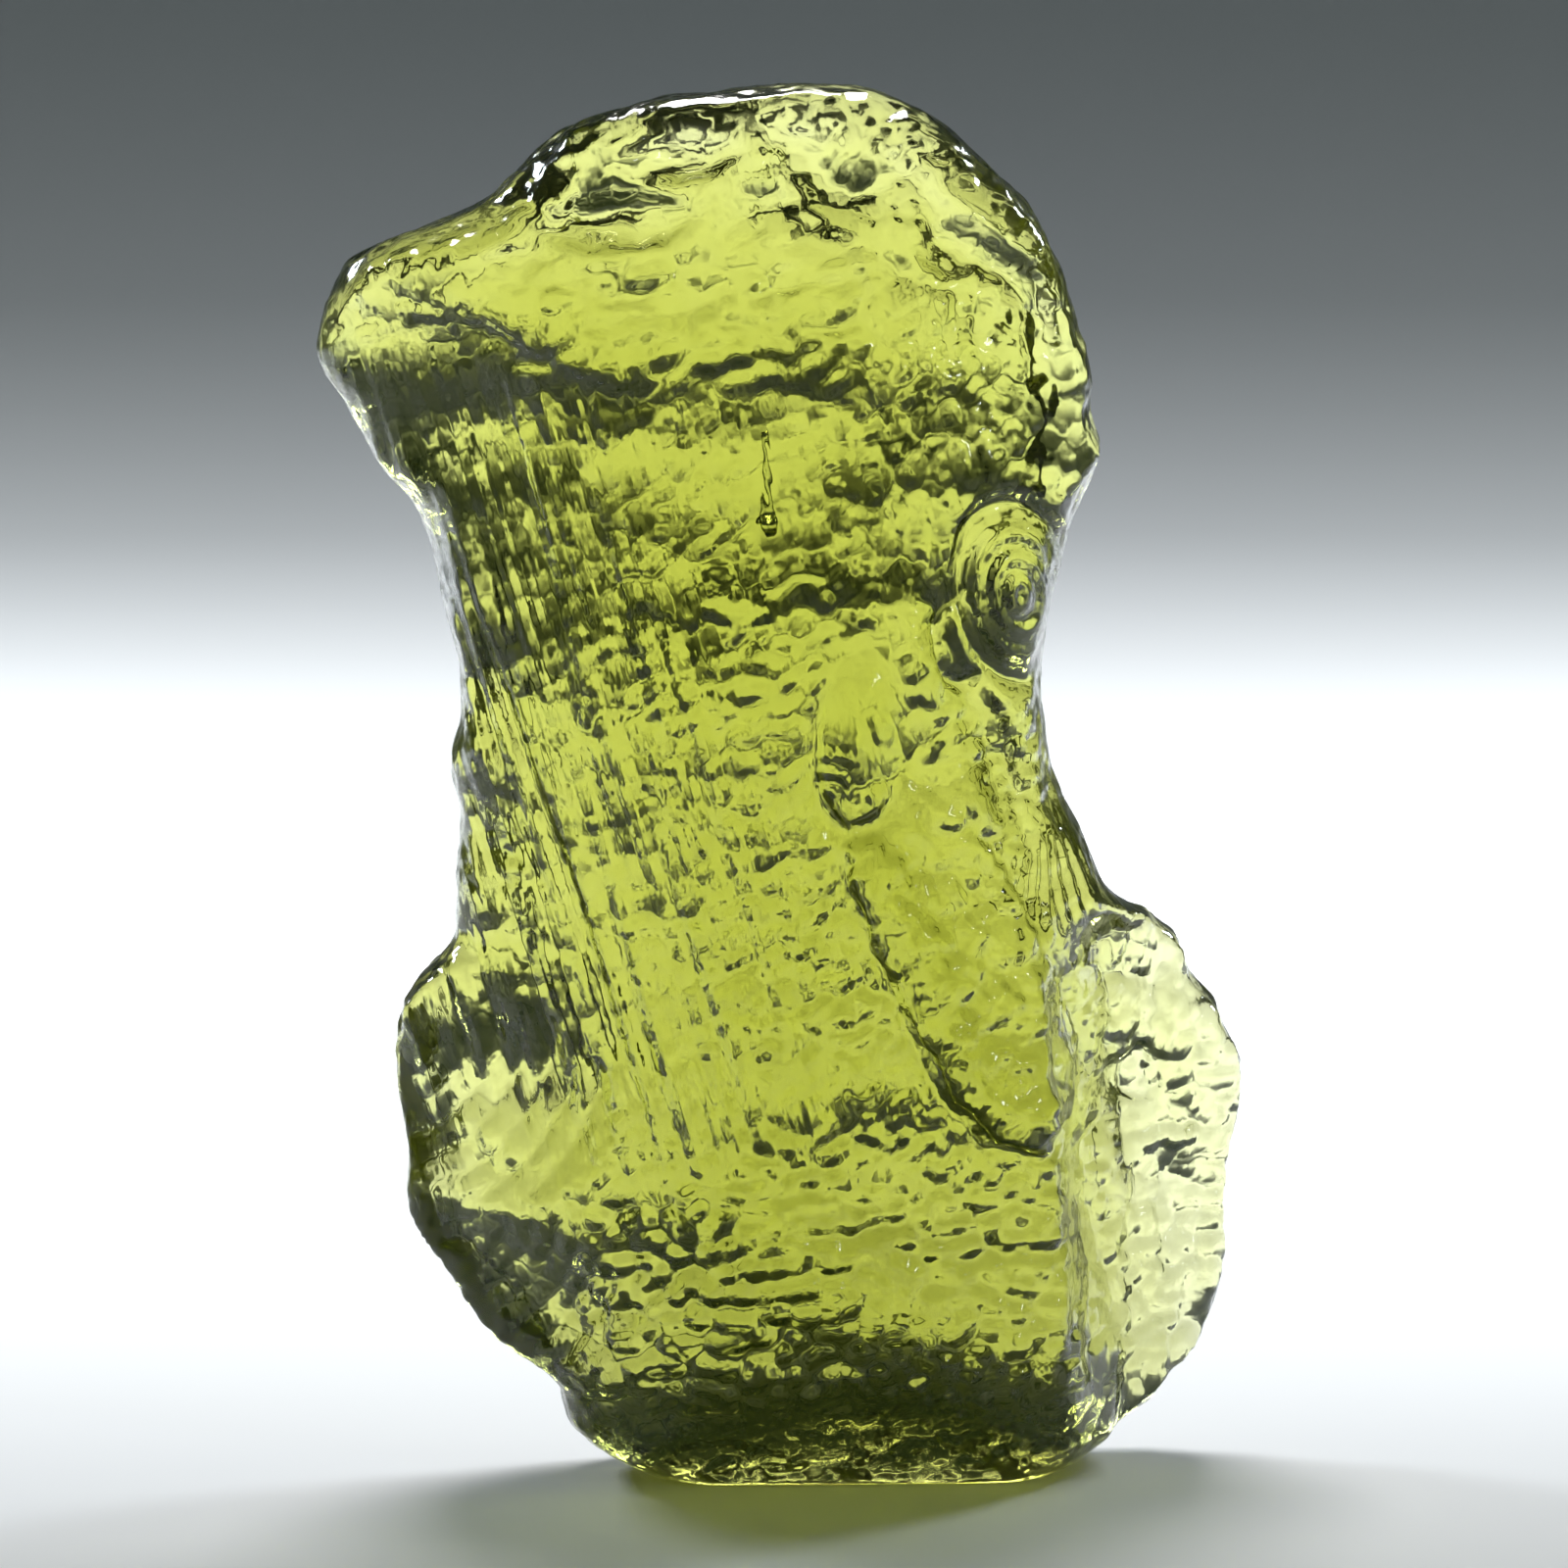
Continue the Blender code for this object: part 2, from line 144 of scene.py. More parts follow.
def cups(spacing, squeeze=WIDE):
    """0 at the rims and 1 in the middle of each cup."""
    places = points * np.array(squeeze) / spacing
    nearest = np.array([noise.voronoi(Vector(p))[0][0] for p in places])
    return np.clip(1 - (nearest / CUP_REACH) ** 2, 0, None)


def waves(size, shift=0.0):
    """Smooth noise from about -1 to 1."""
    places = points / size + shift
    return np.array([noise.noise(Vector(p)) for p in places])


wobble = waves(0.7, shift=11.0)
patchy = fade(-0.3, 0.4, waves(3.4, shift=7.0))
print("patches with deep pits:", round(float(patchy.mean()), 2), "of the skin")

# %% [markdown]
# On the front and the back many pits are round scales in rows, like those of a fish. Each cell of
# a grid holds one seed, moved a little from its middle, and each point looks for the nearest seed
# in its own cell and the eight around it.

# %% Scales in rows
SCALE_REACH = 0.75
SEED_MARGIN, SEED_PLAY = 0.2, 0.6


def scales(wide, tall, lean):
    """1 in the middle of each of many round scales that stand in rows, and 0 between them."""
    c, s = math.cos(lean), math.sin(lean)
    row_space = (z * c - x * s) / tall
    nearest = np.full(len(x), np.inf)
    for row in (np.floor(row_space) + shift for shift in (-1, 0, 1)):
        along_row = (x * c + z * s) / wide + 0.5 * (row % 2)
        for cell in (np.floor(along_row) + shift for shift in (-1, 0, 1)):
            chance = np.sin(cell * 12.99 + row * 78.23) * 437.58
            seed_x = SEED_MARGIN + SEED_PLAY * (0.5 + 0.5 * np.sin(chance * 9.1))
            seed_z = SEED_MARGIN + SEED_PLAY * (0.5 + 0.5 * np.sin(chance * 5.3 + 2))
            away = np.hypot(along_row - cell - seed_x, row_space - row - seed_z)
            nearest = np.minimum(nearest, away)
    return np.clip(1 - (nearest / SCALE_REACH) ** 2, 0, None)


big_scales = scales(0.75, 0.65, 0.1)
small_scales = scales(0.45, 0.42, -0.6)
print("mean height of the big and small scales:",
      [round(float(kind.mean()), 2) for kind in (big_scales, small_scales)])

# %% Pits on the back and along the edges
BACK_BIG, BACK_SMALL = 0.05, 0.07
EDGE_BIG, EDGE_SMALL = 0.05, 0.03

foot_rows = fade(8.6, 5.0, z) * fade(1.4, 2.6, z) * fade(-5.5, -3.6, x) * fade(8.2, 6.6, x)
relief = facing_back * big_scales * BACK_BIG
relief += facing_back * small_scales * BACK_SMALL * (0.35 + 0.65 * patchy) * (1 - 0.8 * foot_rows)
relief -= at_edge * (EDGE_BIG * cups(0.8) + EDGE_SMALL * cups(0.42))
back_relief = relief * facing_back
print("pits go down to mm:", round(float(relief.min()), 3))

# %% [markdown]
# ## Flow lines
# The glass was drawn out while it was molten, and the acids follow its layers. On the left of the
# front they have opened fine furrows that run from the upper left to the lower right. Noise that is
# stretched along one direction gives them. Fainter ones go on over the rest of the front.

# %% Furrows on the front's left
FLOW_LEAN = math.radians(17)
WIDE_FURROWS, FINE_FURROWS = 0.20, 0.12


def furrows(lean, spacing, stretch, shift=0.0):
    """Long ridges that run down the stone, leaning to the right at the foot."""
    across = (x * math.cos(lean) + z * math.sin(lean)) / spacing
    down = (z * math.cos(lean) - x * math.sin(lean)) / (spacing * stretch)
    return np.array([noise.noise(Vector((a, shift, d))) for a, d in zip(across, down)])


from_left = fade(1.5, -3.5, x + 0.3 * (z - 14))
flow = facing_front * from_left * fade(6.5, 9.5, z) * fade(26.5, 23.5, z)
faint_flow = facing_front * fade(5.5, 2.0, x) * fade(2.0, 5.0, z)
relief += WIDE_FURROWS * furrows(FLOW_LEAN, 0.6, 14) * flow
relief += FINE_FURROWS * furrows(FLOW_LEAN, 0.32, 22, 5.0) * (flow + 0.3 * faint_flow)
print("furrows cover", round(float(flow.mean()), 2), "of the skin")

# %% [markdown]
# ## The marks that make this stone itself
# A few marks are one of a kind: the head's hollows, the tongue's stepped edge, the ringed eye, the
# two shell-like scars and the fan of fine cracks. Each is placed where the photo has it, by the
# distance from a line, by how far a point is out of an oval, or by an angle.

# %% Distances from lines and ovals
def to_line(points_on_it):
    """Each point's distance from a line of several stretches on the front."""
    nearest = np.full(len(x), np.inf)
    for (ax, az), (bx, bz) in zip(points_on_it, points_on_it[1:]):
        dx, dz = bx - ax, bz - az
        t = np.clip(((x - ax) * dx + (z - az) * dz) / (dx * dx + dz * dz), 0, 1)
        nearest = np.minimum(nearest, np.hypot(x - ax - t * dx, z - az - t * dz))
    return nearest


def inside(outline):
    """Whether each point lies inside a closed outline on the front."""
    found = np.zeros(len(x), bool)
    for (ax, az), (bx, bz) in zip(outline, outline[1:] + outline[:1]):
        if az != bz:
            found ^= ((az > z) != (bz > z)) & (x < ax + (z - az) * (bx - ax) / (bz - az))
    return found


def around(middle_x, middle_z, half_x, half_z, lean=0.0):
    """How far out of an oval each point is: 0 in its middle and 1 on its rim."""
    c, s = math.cos(math.radians(lean)), math.sin(math.radians(lean))
    across = ((x - middle_x) * c + (z - middle_z) * s) / half_x
    up = ((z - middle_z) * c - (x - middle_x) * s) / half_z
    return np.hypot(across, up)


# %% Ripples and moats
def ripple(value, spacing):
    """Rounded ridges with sharp valleys, one for each spacing, and zero on average."""
    return np.abs(np.sin(math.pi * value / spacing)) - 0.64


def moat(rim, width):
    """A narrow groove along an oval's rim."""
    return np.clip(1 - ((rim - 1) / width) ** 2, 0, None)


# %% [markdown]
# The tongue is a layer that stands a little proud, and its left and lower edge is a step with a few
# contour lines beside it. The points are those of the step in the CAD part. Noise moves the step to
# and fro, because a broken layer has no even edge.

# %% The tongue's edge
TONGUE = [
    (1.0, 16.2), (1.5, 14.8), (2.1, 13.2), (2.7, 11.9), (3.2, 10.6), (3.85, 9.3), (4.7, 8.35),
    (5.8, 8.05), (6.6, 8.7), (6.6, 10.3), (5.9, 12.2), (5.0, 14.1), (4.0, 15.6), (2.6, 16.6),
]
STEPPED_POINTS = 8
TONGUE_STEP, HALF_STEP = 0.26, 0.09
CONTOUR_HEIGHT, CONTOUR_SPACING = 0.08, 0.36

in_tongue = inside(TONGUE)
edge = to_line(TONGUE[:STEPPED_POINTS])
inwards = np.where(in_tongue, edge, -edge) + 0.2 * wobble + 0.3 * waves(1.7, shift=4.0)
step = fade(-HALF_STEP, HALF_STEP, inwards) * fade(1.4, 0.2, edge)
relief += TONGUE_STEP * step * facing_front * fade(16.2, 14.6, z)
relief += CONTOUR_HEIGHT * ripple(edge, CONTOUR_SPACING) * fade(1.3, 0.5, edge) * facing_front
print("the tongue covers", round(float((in_tongue * facing_front).mean()), 3), "of the skin")

# %% [markdown]
# The eye is a bubble that the etching has opened: rings in a round hollow. Two drawn-out swellings
# lie to its left, and a small ring sits on the blade. Each has a moat, which shows as a dark line.
# A swelling has it only on the side that the light leaves dark, its lower left.

# %% The eye, the swellings and the ring on the blade
EYE = (5.3, 20.6, 1.35, 2.1, 14)
EYE_RINGS, EYE_RING_SPACING = 0.14, 0.28
SWELLINGS = [(1.7, 17.4, 1.05, 2.1, -6), (3.9, 19.6, 0.5, 1.0, 6)]
BLADE_RING = (8.2, 9.0, 0.5, 0.5)
MOAT_DEPTH, RING_DEPTH = 0.20, 0.12

eye = around(*EYE)
relief += EYE_RINGS * ripple(eye, EYE_RING_SPACING) * fade(1.15, 0.95, eye) * facing_front
relief -= MOAT_DEPTH * moat(eye, 0.14) * facing_front
for oval in SWELLINGS:
    towards_corner = (x - oval[0]) / oval[2] + (z - oval[1]) / oval[3]
    one_sided = fade(0.4, -0.9, towards_corner)
    relief -= MOAT_DEPTH * moat(around(*oval), 0.16) * facing_front * one_sided
relief -= RING_DEPTH * moat(around(*BLADE_RING), 0.3) * facing_front
print("relief with the eye from", round(float(relief.min()), 3), "mm")

# %% [markdown]
# Two ledges cross the front: one under the head, and a faint one at the waist. Each falls off below
# its line and fades out above it.

# %% Steps across the front
HEAD_STEP = [(-9.4, 26.8), (-7.6, 27.0), (-5.8, 26.3), (-4.0, 25.6), (-1.3, 25.5), (0.6, 26.4)]
WAIST_STEP = [(-3.8, 19.5), (-2.6, 20.1), (-1.2, 20.0), (0.2, 20.6), (1.6, 20.8)]
HEAD_STEP_HEIGHT, WAIST_STEP_HEIGHT = 0.13, 0.06

uneven = 0.6 * wobble + 0.5 * waves(1.6, shift=2.0)


def step_along(line, height, reach):
    """A ledge that falls off below a line and fades out above it."""
    line_x, line_z = np.array(line).T
    above = z - np.interp(x, line_x, line_z) + uneven
    left, right = line_x[0], line_x[-1]
    between = fade(left - 0.5, left + 0.5, x) * fade(right + 0.5, right - 0.5, x)
    return height * between * fade(-0.15, 0.15, above) * fade(reach, 0.2, above)


steps = step_along(HEAD_STEP, HEAD_STEP_HEIGHT, 2.0) + step_along(WAIST_STEP, WAIST_STEP_HEIGHT, 1.4)
relief += steps * facing_front
print("steps up to mm:", round(float(steps.max()), 3))

# %% [markdown]
# A chip in glass leaves a shell-like scar, with ribs in arcs round the point where it was struck.
# There are two on the left of the foot. The fan is the other way round: fine cracks that spread
# from one point, at the top of the groove.

# %% The scars' ribs and the fan of cracks
UPPER_RIBS, UPPER_RIB_SPACING = 0.07, 0.62
LOWER_RIBS, LOWER_RIB_SPACING = 0.05, 0.55
FAN_X, FAN_Z = 5.8, 16.4
FAN_RIBS, FAN_SPACING = 0.10, 0.11

upper_strike = around(-9.6, 10.8, 1.0, 1.0)
in_upper = fade(1.1, 0.85, around(-6.5, 8.9, 2.6, 2.4)) * facing_front
relief += UPPER_RIBS * ripple(upper_strike, UPPER_RIB_SPACING) * in_upper
lower_strike = around(-8.4, 6.6, 1.0, 1.0)
in_lower = fade(1.1, 0.85, around(-5.3, 4.5, 2.2, 1.5, -35)) * facing_front
relief += LOWER_RIBS * ripple(lower_strike, LOWER_RIB_SPACING) * in_lower

below_fan = FAN_Z - z
fan_angle = np.arctan2(x - FAN_X, below_fan)
fan_sides = fade(0.62, 0.4, np.abs(fan_angle - 0.2))
in_fan = fade(0.4, 0.9, below_fan) * fade(4.0, 2.4, below_fan) * fan_sides
relief += FAN_RIBS * ripple(fan_angle, FAN_SPACING) * in_fan * facing_front
print("share of points in the scars and the fan:",
      [round(float(m.mean()), 3) for m in (in_upper, in_lower, in_fan)])

# %% [markdown]
# The rest of the front is covered in small scales too. They leave the marks clear, and the glass in
# front of the thread and its bubble. Behind the scars the back's pits are taken down, because two
# rough faces with little glass between them would blur each other. At the foot the scales are
# deepest, as on the real stone, and a patch of them lies above the head's step.

# %% Scales on the front
THREAD_LINE = [(-0.4, 24.3), (-0.3, 21.6)]
FOOT_SCALES, FOOT_GRAIN = 0.24, 0.04
STEP_SCALES = 0.17

behind_scars = fade(-2.8, -4.2, x) * fade(12.5, 11.0, z)
relief -= 0.7 * behind_scars * facing_back * back_relief
marked = fade(1.25, 1.0, eye) + fade(0.6, 0.2, edge) + in_upper + in_lower + in_fan
marked += sum(fade(1.3, 1.0, around(*oval)) for oval in SWELLINGS)
marked += fade(0.6, 0.2, to_line(THREAD_LINE))
clear = 1 - 0.7 * np.clip(marked, 0, 1)

front_scales = scales(0.42, 0.40, 0.7) * (0.6 + 0.4 * patchy) * (1 - 0.5 * flow)
small_rows = (1 - foot_rows) * (0.10 + 0.05 * fade(20, 16, z))
foot_scales = scales(0.58, 0.5, 0.1)
relief += facing_front * clear * front_scales * small_rows
relief += facing_front * foot_rows * (FOOT_SCALES * foot_scales + FOOT_GRAIN * front_scales)

above_step = fade(-7.0, -5.0, x) * fade(3.0, 1.0, x) * fade(25.0, 25.8, z) * fade(28.8, 27.6, z)
relief += facing_front * scales(0.66, 0.55, 0.2) * STEP_SCALES * above_step
print("front kept clear of scales:", round(float((marked > 0.5).mean()), 2), "of the skin")

# %% [markdown]
# The tongue has larger and softer dimples, the head has long hollows with smaller cups around them,
# and the blade has furrows of its own that run almost straight down.

# %% The tongue's dimples, the head's hollows and the blade's furrows
TONGUE_DIMPLES, TONGUE_SWELL = 0.16, 0.10
HEAD_HOLLOWS = [
    (-3.7, 28.9, 1.9, 0.75, 4), (-2.4, 30.3, 1.5, 0.55, 8), (-6.4, 27.9, 1.2, 0.5, 14),
    (1.3, 29.6, 1.1, 0.7, -25), (3.6, 28.3, 0.8, 0.6, -40),
]
HOLLOW_DEPTH, HEAD_CUPS, HEAD_PITS = 0.26, 0.08, 0.025
BLADE_LEAN, BLADE_FURROWS = math.radians(-6), 0.16

on_tongue = in_tongue * fade(0.2, 0.9, edge) * facing_front
dimples = TONGUE_DIMPLES * scales(1.0, 0.9, 0.4) + TONGUE_SWELL * waves(1.3, shift=8.0)
relief += on_tongue * dimples
for oval in HEAD_HOLLOWS:
    relief -= HOLLOW_DEPTH * np.clip(1 - around(*oval) ** 2, 0, 1) * facing_front
head = fade(25.3, 26.4, z) * facing_front
relief -= HEAD_CUPS * cups(0.9, (0.8, 1.0, 1.2)) * head
relief -= HEAD_PITS * cups(0.45) * head
blade = fade(6.9, 7.8, x) * fade(13.4, 12.0, z)
relief += BLADE_FURROWS * furrows(BLADE_LEAN, 0.5, 6, 9.0) * blade
print("relief from", round(float(relief.min()), 3), "to", round(float(relief.max()), 3), "mm")

# %% [markdown]
# Now the points move. The relief fades out just above the base, which stays flat, so the stone
# stands as the CAD part does. Three masks are kept on the mesh for the material to read.

# %% Move the points, and keep the base flat
points += normals * (relief * off_base)[:, None]
points[:, 2] = np.maximum(points[:, 2], 0)
skin.vertices.foreach_set("co", (points * MM).astype(np.float32).ravel())
skin.update()
skin.shade_smooth()
kept_masks = {
    "etching": facing_back + 0.6 * at_edge,
    "flow": flow + 0.35 * faint_flow,
    "front": facing_front,
}
for name, mask in kept_masks.items():
    skin.attributes.new(name, "FLOAT", "POINT")
    skin.attributes[name].data.foreach_set("value", np.clip(mask, 0, 1).astype(np.float32))
stone = bpy.data.objects.new("stone", skin)
bpy.context.scene.collection.objects.link(stone)
print("stone in mm:", [round(size / MM, 2) for size in stone.dimensions])

# %% [markdown]
# ## The glass
# Clear glass has no colour of its own at the surface: light is tinted on its way through, so thin
# edges stay nearly white and the thick middle turns yellow-green. The shader is plain transmission
# at moldavite's index, 1.49, with an absorbing volume. Roughness is low on the front, which the
# light picks out, and higher on the back and the edges, which are silky. A fine bump stands for
# etching that is too small for the mesh.

# %% Helpers for material nodes
def new_node(material, kind, **values):
    """A node with some of its settings and inputs set."""
    made = material.node_tree.nodes.new("ShaderNode" + kind)
    for key, value in values.items():
        if key in made.inputs:
            made.inputs[key].default_value = value
        else:
            setattr(made, key, value)
    return made


def scaled(material, output, share):
    """An output times a number or times another output."""
    made = new_node(material, "Math", operation="MULTIPLY")
    material.node_tree.links.new(output, made.inputs[0])
    if isinstance(share, float):
        made.inputs[1].default_value = share
    else:
        material.node_tree.links.new(share, made.inputs[1])
    return made.outputs[0]


def total(material, outputs):
    """The sum of several outputs."""
    first = outputs[0]
    for other in outputs[1:]:
        made = new_node(material, "Math", operation="ADD")
        material.node_tree.links.new(first, made.inputs[0])
        material.node_tree.links.new(other, made.inputs[1])
        first = made.outputs[0]
    return first


def see_through(name, index, roughness):
    """A material that lets all light through, and its shader."""
    made = bpy.data.materials.new(name)
    made.use_nodes = True
    shader = made.node_tree.nodes["Principled BSDF"]
    shader.inputs["Base Color"].default_value = (1, 1, 1, 1)
    shader.inputs["Roughness"].default_value = roughness
    shader.inputs["Transmission Weight"].default_value = 1.0
    shader.inputs["IOR"].default_value = index
    return made, shader


# %% [markdown]
# The bump is the sum of two patterns: fine pits from noise, and lines drawn out along the furrows'
# direction. Each is weighted by the masks. Both read Object coordinates, so they stay with the
# stone wherever it is placed. Light meets the bump many times on its way through clear glass, so
# the noise is of the plainest kind, with no finer octaves.

# %% The bump of the micro-etching
FINE_PIT = 0.30
SILKY_PITS, FRONT_PITS, LINES = 1.0, 0.35, 1.0
LINE_WIDTH, LINE_DEPTH, LINE_LENGTH = 0.16, 2, 4
BUMP_DEPTH = 0.045


def drawn_lines(material, place):
    """Noise that is stretched along the furrows' direction."""
    drawn = material.node_tree.nodes.new("ShaderNodeMapping")
    drawn.vector_type = "TEXTURE"
    drawn.inputs["Rotation"].default_value = (0, -FLOW_LEAN, 0)
    drawn.inputs["Scale"].default_value = (LINE_WIDTH * MM, LINE_DEPTH * MM, LINE_LENGTH * MM)
    material.node_tree.links.new(place, drawn.inputs["Vector"])
    lines = new_node(material, "TexNoise", Scale=1, Detail=0)
    material.node_tree.links.new(drawn.outputs["Vector"], lines.inputs["Vector"])
    return lines.outputs["Fac"]


def etched_bump(material, etching, flowing, front):
    """A bump node's normal, from fine pits and drawn-out lines."""
    links = material.node_tree.links
    place = new_node(material, "TexCoord").outputs["Object"]
    pits = new_node(material, "TexNoise", Scale=1 / (FINE_PIT * MM), Detail=0)
    links.new(place, pits.inputs["Vector"])
    height = total(material, [
        scaled(material, scaled(material, pits.outputs["Fac"], etching), SILKY_PITS),
        scaled(material, scaled(material, pits.outputs["Fac"], front), FRONT_PITS),
        scaled(material, scaled(material, drawn_lines(material, place), flowing), LINES),
    ])
    bump = new_node(material, "Bump", Strength=1.0, Distance=BUMP_DEPTH * MM)
    links.new(height, bump.inputs["Height"])
    return bump.outputs["Normal"]


# %% Glass material
GLASS_INDEX = 1.49
POLISH, FROST = 0.05, 0.22
GLASS_TINT, GLASS_DENSITY = (0.68, 0.70, 0.03, 1), 400


def glass():
    """Moldavite's glass: a tint that grows with depth, and an etched surface."""
    made, shader = see_through("moldavite_glass", GLASS_INDEX, POLISH)
    nodes, links = made.node_tree.nodes, made.node_tree.links
    etching, flowing, front = [
        new_node(made, "Attribute", attribute_name=name).outputs["Fac"]
        for name in ("etching", "flow", "front")
    ]
    silk = new_node(made, "MapRange")
    silk.inputs["To Min"].default_value = POLISH
    silk.inputs["To Max"].default_value = FROST
    links.new(etching, silk.inputs["Value"])
    links.new(silk.outputs["Result"], shader.inputs["Roughness"])
    volume = new_node(made, "VolumeAbsorption", Color=GLASS_TINT, Density=GLASS_DENSITY)
    links.new(volume.outputs["Volume"], nodes["Material Output"].inputs["Volume"])
    links.new(etched_bump(made, etching, flowing, front), shader.inputs["Normal"])
    return made


skin.materials.clear()
skin.materials.append(glass())
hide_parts("moldavite")
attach(stone, "root")
print("glass nodes:", len(skin.materials[0].node_tree.nodes))

# %% [markdown]
# ## The thread and its bubble
# Inside the glass, above the middle, hangs a gas bubble that was drawn out to a thread when the
# glass flowed. It is a piece of its own, because light bends the other way where it goes from
# glass to gas, so its index is one over the glass's. A sphere is pulled out to the thread: each
# ring gets its height and its width.

# %% Bubble thread
THREAD_TOP, THREAD_FOOT = (-0.40, -1.2, 24.2), (-0.34, -1.2, 21.75)
THREAD_WIDTHS = [
    (0.0, 0.0), (0.03, 0.15), (0.09, 0.22), (0.15, 0.17), (0.2, 0.10), (0.6, 0.085),
    (0.93, 0.11), (0.98, 0.08), (1.0, 0.0),
]


def bubble_thread():
    """A round bubble at the foot of a thin thread, closed at both ends."""
    made = bmesh.new()
    bmesh.ops.create_uvsphere(made, u_segments=16, v_segments=48, radius=1)
    heights, widths = zip(*THREAD_WIDTHS)
    foot, top = Vector(THREAD_FOOT), Vector(THREAD_TOP)
    for v in made.verts:
        share = math.acos(max(-1, min(1, -v.co.z))) / math.pi
        turn = math.atan2(v.co.y, v.co.x)
        wide = float(np.interp(share, heights, widths))
        v.co = foot.lerp(top, share) + Vector((math.cos(turn), math.sin(turn), 0)) * wide
    bmesh.ops.remove_doubles(made, verts=made.verts, dist=0.0001)
    bmesh.ops.scale(made, verts=made.verts, vec=(MM, MM, MM))
    bmesh.ops.recalc_face_normals(made, faces=made.faces)
    mesh = bpy.data.meshes.new("bubble_thread")
    made.to_mesh(mesh)
    made.free()
    mesh.shade_smooth()
    placed = bpy.data.objects.new("bubble_thread", mesh)
    bpy.context.scene.collection.objects.link(placed)
    return placed


thread = bubble_thread()
gas, gas_shader = see_through("gas_in_glass", 1 / GLASS_INDEX, 0.0)
thread.data.materials.append(gas)
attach(thread, "root")
print("bubble thread:", len(thread.data.vertices), "points")

# %% [markdown]
# ## The studio
# Glass shows only what stands around it, bent by its slopes. The floor is a wide pale dish that
# curves up all round, so there is no horizon to see through the stone. The one large softbox hangs
# behind the stone and close to the floor, so the floor behind is bright at the stone's foot and
# falls off to dark further back. Every pit and step that tilts the view up or down then draws
# itself in dark and light, which an even light would wash out.

# %% The pale floor
FLOOR_DROP = 0.00002
FLOOR_RADIUS = 0.22
FLOOR_COLOUR, FLOOR_ROUGHNESS = (0.82, 0.82, 0.82, 1), 0.9
WALL = [
    (0.30, 0.004), (0.36, 0.014), (0.42, 0.032), (0.47, 0.058), (0.51, 0.09), (0.54, 0.13),
    (0.555, 0.165),
]


def dish():
    """A flat round floor whose rim is drawn outwards and upwards, ring by ring."""
    made = bmesh.new()
    bmesh.ops.create_circle(made, cap_ends=True, segments=128, radius=FLOOR_RADIUS)
    radius, height = FLOOR_RADIUS, 0.0
    rim = made.edges[:]
    for wide, tall in WALL:
        grown = bmesh.ops.extrude_edge_only(made, edges=rim)["geom"]
        rim = [g for g in grown if isinstance(g, bmesh.types.BMEdge)]
        ring = [g for g in grown if isinstance(g, bmesh.types.BMVert)]
        bmesh.ops.scale(made, verts=ring, vec=(wide / radius, wide / radius, 1))
        bmesh.ops.translate(made, verts=ring, vec=(0, 0, tall - height))
        radius, height = wide, tall
    bmesh.ops.recalc_face_normals(made, faces=made.faces)
    bmesh.ops.translate(made, verts=made.verts, vec=(0, 0, -FLOOR_DROP))
    mesh = bpy.data.meshes.new("floor")
    made.to_mesh(mesh)
    made.free()
    mesh.shade_smooth()
    placed = bpy.data.objects.new("floor", mesh)
    bpy.context.scene.collection.objects.link(placed)
    return placed


floor = dish()
floor_finish = bpy.data.materials.new("pale_floor")
floor_finish.use_nodes = True
floor_shader = floor_finish.node_tree.nodes["Principled BSDF"]
floor_shader.inputs["Base Color"].default_value = FLOOR_COLOUR
floor_shader.inputs["Roughness"].default_value = FLOOR_ROUGHNESS
floor.data.materials.append(floor_finish)
print("floor:", len(floor.data.polygons), "faces")

# %% [markdown]
# Two cooler softboxes hang at the sides and point straight down, and a small one stands in for a
# window at the front right. They give the edges their bluish glints. The sky is nearly black, with
# a trace of green, so that the sides of the stone keep their depth.

# %% Sky and softboxes
SKY = (0.02, 0.032, 0.030, 1)
OVERHEAD_PLACE, OVERHEAD_SIZE, OVERHEAD_WATTS = (0, 0.08, 0.11), 0.06, 0.17
RIM_PLACE, RIM_SIZE, RIM_WATTS = (0.10, 0.10, 0.09), 0.04, 0.18
WINDOW_PLACE, WINDOW_SIZE, WINDOW_WATTS = (0.26, -0.22, 0.14), 0.03, 0.05
STONE_MIDDLE = (0, 0, 0.016)
WHITE, COOL, COOLER = (1, 1, 1), (0.85, 0.93, 1.0), (0.80, 0.90, 1.0)


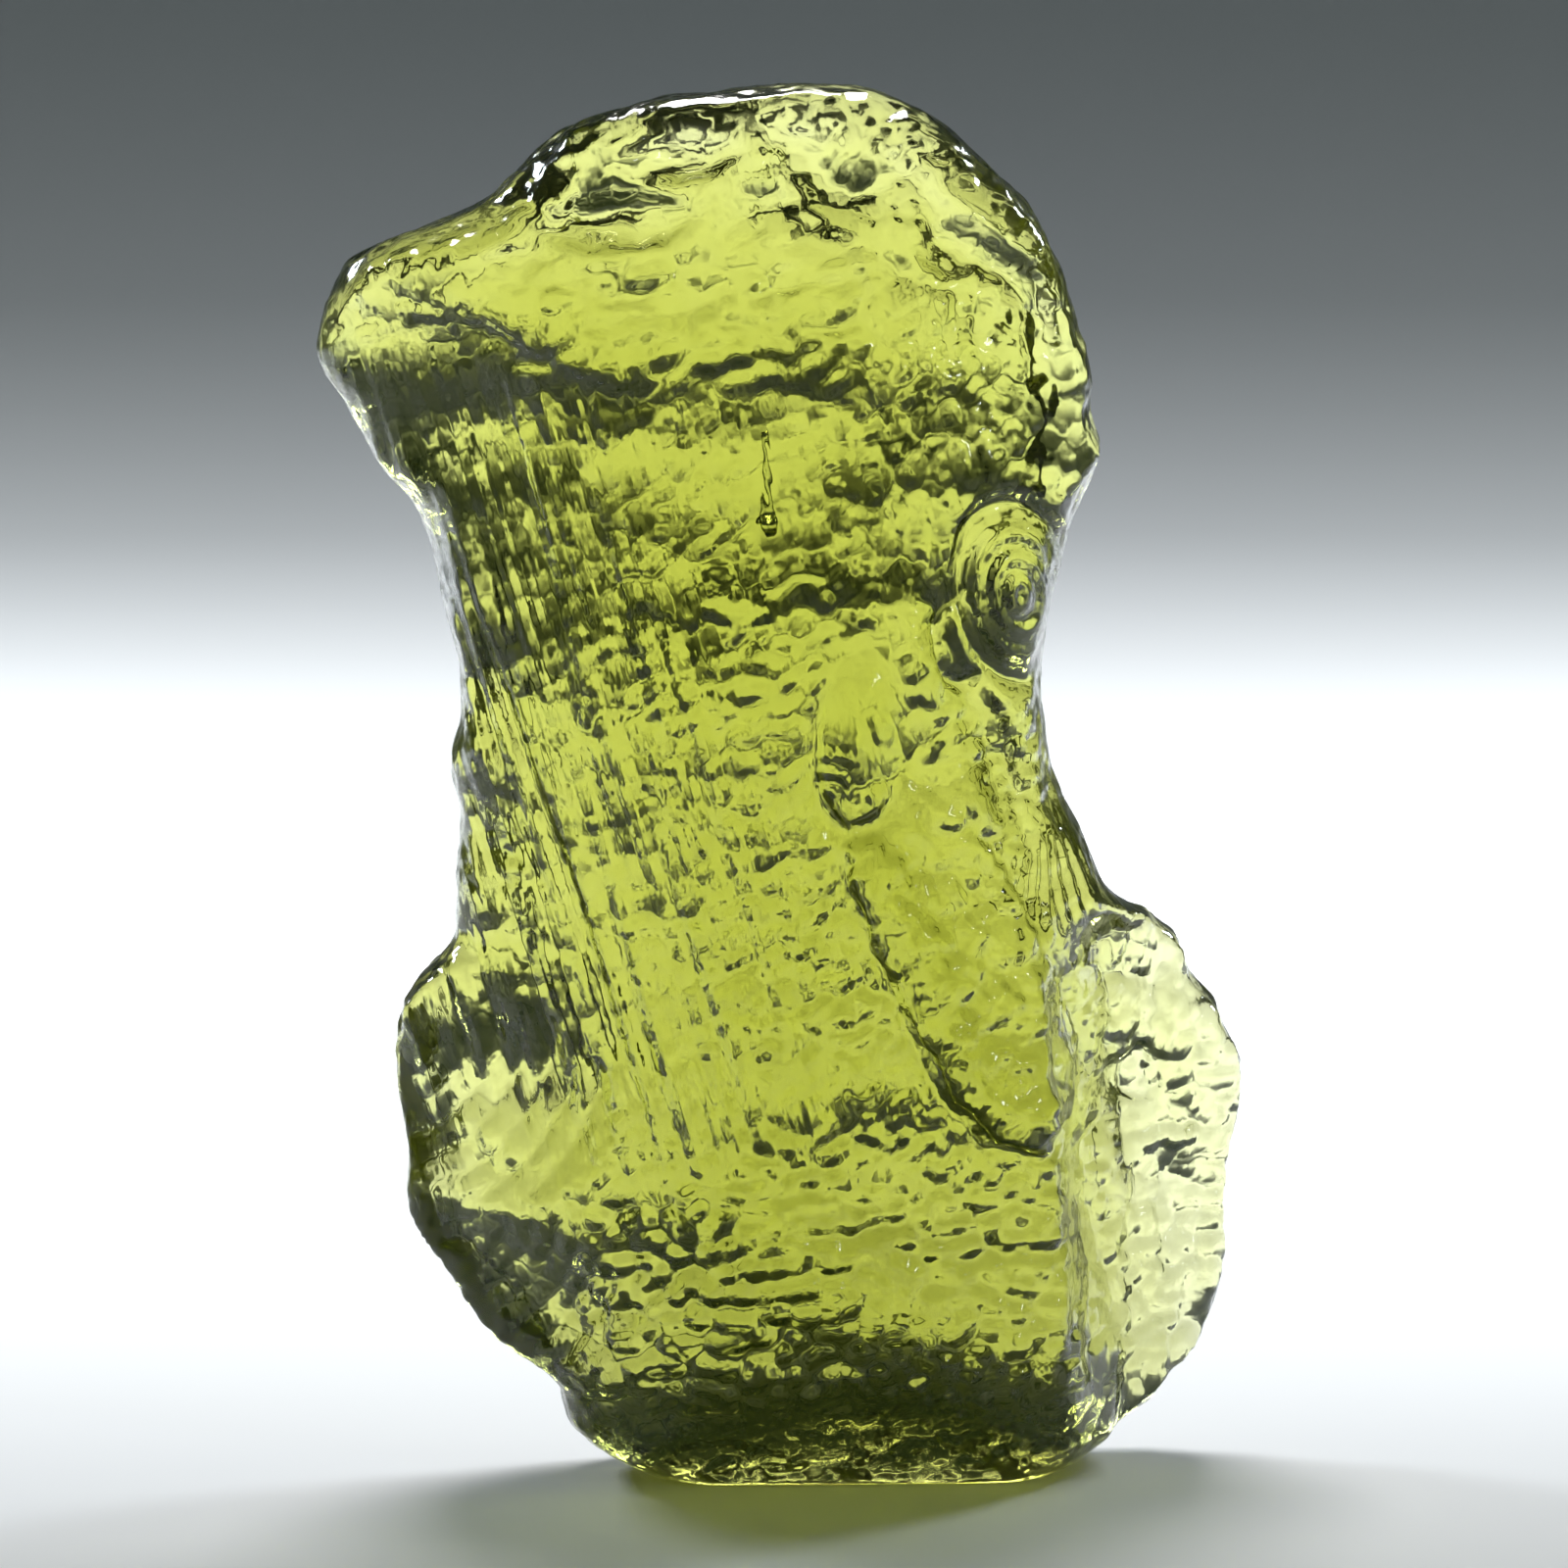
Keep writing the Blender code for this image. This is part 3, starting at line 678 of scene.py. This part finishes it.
def softbox(name, place, size, watts, colour, aim=None):
    """A square area light that points at a place, or straight down."""
    lamp = bpy.data.lights.new(name, "AREA")
    lamp.shape = "RECTANGLE"
    lamp.size = size
    lamp.size_y = size
    lamp.energy = watts
    lamp.color = colour
    holder = bpy.data.objects.new(name, lamp)
    holder.location = place
    target = aim or (place[0], place[1] + 0.001, 0)
    holder.rotation_euler = (Vector(target) - Vector(place)).to_track_quat("-Z", "Y").to_euler()
    bpy.context.scene.collection.objects.link(holder)


sky = bpy.data.worlds.new("studio")
bpy.context.scene.world = sky
sky.use_nodes = True
sky.node_tree.nodes["Background"].inputs["Color"].default_value = SKY
softbox("overhead", OVERHEAD_PLACE, OVERHEAD_SIZE, OVERHEAD_WATTS, WHITE)
for name, way in [("rim_left", -1), ("rim_right", 1)]:
    softbox(name, (way * RIM_PLACE[0], *RIM_PLACE[1:]), RIM_SIZE, RIM_WATTS, COOL)
softbox("window", WINDOW_PLACE, WINDOW_SIZE, WINDOW_WATTS, COOLER, STONE_MIDDLE)
print("lights:", [light.name for light in bpy.data.lights])

# %% [markdown]
# ## The camera
# A long lens, a little above the table, with the whole stone in the square frame as in the photo.
# The photo is 1600 pixels high and shows 44.7 of them to a millimetre, with the stone's foot at
# pixel row 1512. A long lens keeps the view nearly level over the whole height. Two bounces of
# light from the matt floor are enough, and more of them would only slow the render down.

# %% Camera
PHOTO_PIXELS, PIXELS_PER_MM, FOOT_ROW = 1600, 44.7, 1512
CAMERA_ELEVATION = math.radians(7.0)
LENS, SENSOR = 250.0, 36.0
FLOOR_BOUNCES = 2

camera = bpy.data.cameras.new("camera")
camera.lens = LENS
camera.sensor_width = SENSOR
camera.clip_start = 0.005
camera.clip_end = 10
viewpoint = bpy.data.objects.new("camera", camera)
bpy.context.scene.collection.objects.link(viewpoint)

towards = Vector((0, -math.cos(CAMERA_ELEVATION), math.sin(CAMERA_ELEVATION)))
middle = Vector((0, 0, (FOOT_ROW - PHOTO_PIXELS / 2) / PIXELS_PER_MM * MM))
distance = PHOTO_PIXELS / PIXELS_PER_MM * MM * LENS / SENSOR
viewpoint.location = middle + towards * distance
viewpoint.rotation_euler = (-towards).to_track_quat("-Z", "Y").to_euler()
bpy.context.scene.camera = viewpoint
bpy.context.scene.view_settings.view_transform = "Standard"
bpy.context.scene.cycles.diffuse_bounces = FLOOR_BOUNCES
print("camera", round(distance, 3), "m from the stone")
